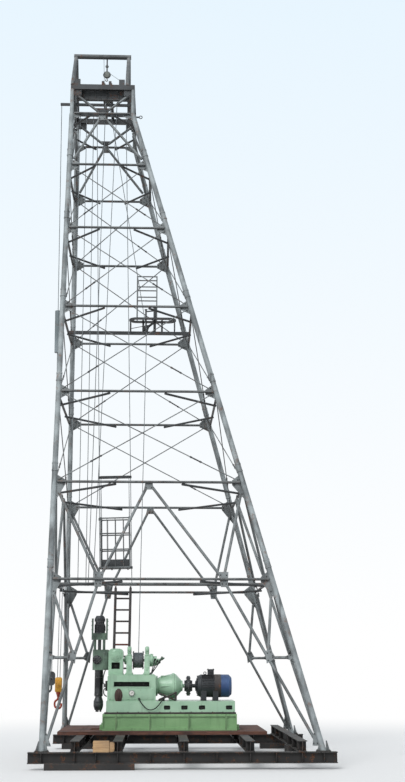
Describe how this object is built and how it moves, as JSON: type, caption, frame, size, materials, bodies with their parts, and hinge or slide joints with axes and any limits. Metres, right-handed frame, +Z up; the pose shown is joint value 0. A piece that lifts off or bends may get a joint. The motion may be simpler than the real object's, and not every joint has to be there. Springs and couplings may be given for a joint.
{
  "type": "core drilling rig with four-leg tubular derrick",
  "caption": "Core drilling rig: an asymmetric four-leg lattice derrick on a beam frame, with a spindle drilling machine, hoist, crown sheave and counterweighted work basket.",
  "frame": {"origin": "centre of the ground frame at floor level", "axes": "+X along the machine, from spindle to motor; +Y away from the viewer; +Z up"},
  "size_m": [6.58, 6.26, 18.37],
  "materials": {
    "base_steel": "near-black worn paint on rolled beams",
    "deck_timber": "rust-red stained planks",
    "packing_timber": "pale sawn timber",
    "dark_steel": "dark grey paint",
    "tower_paint": "grey-green paint, dusty",
    "basket_steel": "grey paint",
    "wire_rope": "greased wire rope",
    "sheave_steel": "worn sheave",
    "counterweight_steel": "grey painted pipe",
    "hook_yellow": "yellow paint worn to red primer",
    "ladder_steel": "dark brown-black paint",
    "base_green": "mid green machine enamel",
    "machine_green": "pale green machine enamel",
    "worn_steel": "dark oily steel",
    "motor_charcoal": "charcoal enamel",
    "cowl_blue": "deep blue enamel"
  },
  "bodies": {
    "tower": {"back_beam": "base_steel", "back_braces": "tower_paint", "board_beam": "dark_steel", "board_guard": "tower_paint", "corner_braces": "dark_steel", "counterweight_line": "wire_rope", "cross_beams": "base_steel", "crown_bearers": "dark_steel", "crown_braces": "tower_paint", "crown_gussets": "dark_steel", "crown_posts": "tower_paint", "crown_ring": "dark_steel", "deck_planks": "deck_timber", "fan_cowl": "cowl_blue", "front_beam": "base_steel", "front_braces": "tower_paint", "gear_housing": "machine_green", "gearbox": "machine_green", "gin_block": "dark_steel", "gin_frame": "tower_paint", "ground_sills": "base_steel", "guide_ropes": "wire_rope", "gusset_plates": "tower_paint", "hoist_brackets": "machine_green", "hoist_brake": "machine_green", "hoist_line": "wire_rope", "hook_block": "hook_yellow", "ladder": "ladder_steel", "left_braces": "tower_paint", "leg_back_left": "tower_paint", "leg_back_right": "tower_paint", "leg_front_left": "tower_paint", "leg_front_right": "tower_paint", "leg_shoes": "base_steel", "level_girts": "tower_paint", "line_bracket": "dark_steel", "line_guide": "dark_steel", "machine_base": "base_green", "machine_skid": "machine_green", "mid_beam": "tower_paint", "monkey_board": "dark_steel", "motor": "motor_charcoal", "motor_feet": "motor_charcoal", "packing_block": "packing_timber", "right_braces": "tower_paint", "rope_bar": "dark_steel", "sheave_bearings": "dark_steel", "spindle_head": "machine_green", "tie_rods": "tower_paint", "transfer_case": "machine_green"},
    "hoist_drum": {"hoist_drum": "worn_steel"},
    "crown_sheave": {"crown_sheave": "sheave_steel"},
    "feed_crosshead": {"feed_crosshead": "machine_green"},
    "spindle": {"spindle": "worn_steel"},
    "coupling": {"coupling": "worn_steel"},
    "work_basket": {"work_basket": "basket_steel", "basket_yoke": "dark_steel", "basket_slings": "wire_rope"},
    "counterweight": {"counterweight": "counterweight_steel"}
  },
  "joints": [
    {"name": "hoist_drum_spin", "type": "hinge", "parent": "tower", "child": "hoist_drum", "pos_m": [-1.03, 0, 2.26], "axis": [1, 0, 0], "continuous": true},
    {"name": "crown_sheave_spin", "type": "hinge", "parent": "tower", "child": "crown_sheave", "pos_m": [-2.03, 0, 17.125], "axis": [1, 0, 0], "continuous": true},
    {"name": "spindle_feed", "type": "slide", "parent": "tower", "child": "feed_crosshead", "axis": [0, 0, 1], "range_m": [-0.22, 0.12]},
    {"name": "spindle_spin", "type": "hinge", "parent": "feed_crosshead", "child": "spindle", "pos_m": [-1.97, 0, 2], "axis": [0, 0, 1], "continuous": true},
    {"name": "coupling_spin", "type": "hinge", "parent": "tower", "child": "coupling", "pos_m": [0.18, 0, 1.66], "axis": [1, 0, 0], "continuous": true},
    {"name": "basket_travel", "type": "slide", "parent": "tower", "child": "work_basket", "axis": [-0.0265, 0, 0.9996], "range_m": [-0.3, 5.4]},
    {"name": "counterweight_travel", "type": "slide", "parent": "tower", "child": "counterweight", "axis": [-0.0119, 0, 0.9999], "range_m": [-5.4, 0.3]}
  ],
  "couplings": [
    {"joint": "counterweight_travel", "follows": "basket_travel", "ratio": -1}
  ]
}
